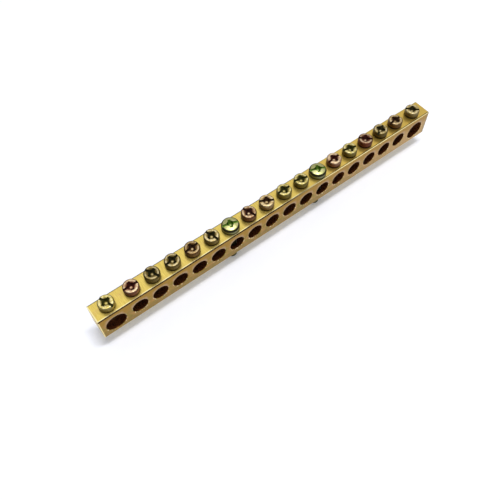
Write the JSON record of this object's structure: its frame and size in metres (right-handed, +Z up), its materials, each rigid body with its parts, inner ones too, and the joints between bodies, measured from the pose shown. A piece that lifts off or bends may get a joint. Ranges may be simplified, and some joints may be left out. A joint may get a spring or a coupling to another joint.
{
  "type": "terminal bar",
  "caption": "Straight brass terminal bar with a row of cross holes for wires, clamping screws from the top and two screws that fix it to a base.",
  "frame": {"origin": "on the bar's underside, midway between the two mounting screws", "axes": "+X along the bar, to the right as the wire holes are seen from the front; +Y to the back; +Z up, towards the screw heads"},
  "size_m": [0.1204, 0.006, 0.0155],
  "materials": {
    "bar": "drawn and milled, bare",
    "clamping_screws": "yellow zinc plate",
    "mounting_screws": "bright zinc plate"
  },
  "bodies": {
    "bar": {"terminal_bar": "bar", "mount_screw_left": "mounting_screws", "mount_screw_right": "mounting_screws"},
    "feed_screw_left": {"feed_screw_left": "clamping_screws"},
    "feed_screw_right": {"feed_screw_right": "clamping_screws"},
    "terminal_screw_01": {"terminal_screw_01": "clamping_screws"},
    "terminal_screw_02": {"terminal_screw_02": "clamping_screws"},
    "terminal_screw_03": {"terminal_screw_03": "clamping_screws"},
    "terminal_screw_04": {"terminal_screw_04": "clamping_screws"},
    "terminal_screw_05": {"terminal_screw_05": "clamping_screws"},
    "terminal_screw_06": {"terminal_screw_06": "clamping_screws"},
    "terminal_screw_07": {"terminal_screw_07": "clamping_screws"},
    "terminal_screw_08": {"terminal_screw_08": "clamping_screws"},
    "terminal_screw_09": {"terminal_screw_09": "clamping_screws"},
    "terminal_screw_10": {"terminal_screw_10": "clamping_screws"},
    "terminal_screw_11": {"terminal_screw_11": "clamping_screws"},
    "terminal_screw_12": {"terminal_screw_12": "clamping_screws"},
    "terminal_screw_13": {"terminal_screw_13": "clamping_screws"},
    "terminal_screw_14": {"terminal_screw_14": "clamping_screws"}
  },
  "joints": [
    {"name": "feed_screw_left_travel", "type": "slide", "parent": "bar", "child": "feed_screw_left", "axis": [0, 0, 1], "range_m": [-0.0004, 0.00307]},
    {"name": "feed_screw_right_travel", "type": "slide", "parent": "bar", "child": "feed_screw_right", "axis": [0, 0, 1], "range_m": [-0.0004, 0.00307]},
    {"name": "terminal_screw_01_travel", "type": "slide", "parent": "bar", "child": "terminal_screw_01", "axis": [0, 0, 1], "range_m": [-0.00045, 0.00287]},
    {"name": "terminal_screw_02_travel", "type": "slide", "parent": "bar", "child": "terminal_screw_02", "axis": [0, 0, 1], "range_m": [-0.00045, 0.00287]},
    {"name": "terminal_screw_03_travel", "type": "slide", "parent": "bar", "child": "terminal_screw_03", "axis": [0, 0, 1], "range_m": [-0.00045, 0.00287]},
    {"name": "terminal_screw_04_travel", "type": "slide", "parent": "bar", "child": "terminal_screw_04", "axis": [0, 0, 1], "range_m": [-0.00045, 0.00287]},
    {"name": "terminal_screw_05_travel", "type": "slide", "parent": "bar", "child": "terminal_screw_05", "axis": [0, 0, 1], "range_m": [-0.00045, 0.00287]},
    {"name": "terminal_screw_06_travel", "type": "slide", "parent": "bar", "child": "terminal_screw_06", "axis": [0, 0, 1], "range_m": [-0.00045, 0.00287]},
    {"name": "terminal_screw_07_travel", "type": "slide", "parent": "bar", "child": "terminal_screw_07", "axis": [0, 0, 1], "range_m": [-0.00045, 0.00287]},
    {"name": "terminal_screw_08_travel", "type": "slide", "parent": "bar", "child": "terminal_screw_08", "axis": [0, 0, 1], "range_m": [-0.00045, 0.00287]},
    {"name": "terminal_screw_09_travel", "type": "slide", "parent": "bar", "child": "terminal_screw_09", "axis": [0, 0, 1], "range_m": [-0.00045, 0.00287]},
    {"name": "terminal_screw_10_travel", "type": "slide", "parent": "bar", "child": "terminal_screw_10", "axis": [0, 0, 1], "range_m": [-0.00045, 0.00287]},
    {"name": "terminal_screw_11_travel", "type": "slide", "parent": "bar", "child": "terminal_screw_11", "axis": [0, 0, 1], "range_m": [-0.00045, 0.00287]},
    {"name": "terminal_screw_12_travel", "type": "slide", "parent": "bar", "child": "terminal_screw_12", "axis": [0, 0, 1], "range_m": [-0.00045, 0.00287]},
    {"name": "terminal_screw_13_travel", "type": "slide", "parent": "bar", "child": "terminal_screw_13", "axis": [0, 0, 1], "range_m": [-0.00045, 0.00287]},
    {"name": "terminal_screw_14_travel", "type": "slide", "parent": "bar", "child": "terminal_screw_14", "axis": [0, 0, 1], "range_m": [-0.00045, 0.00287]}
  ]
}
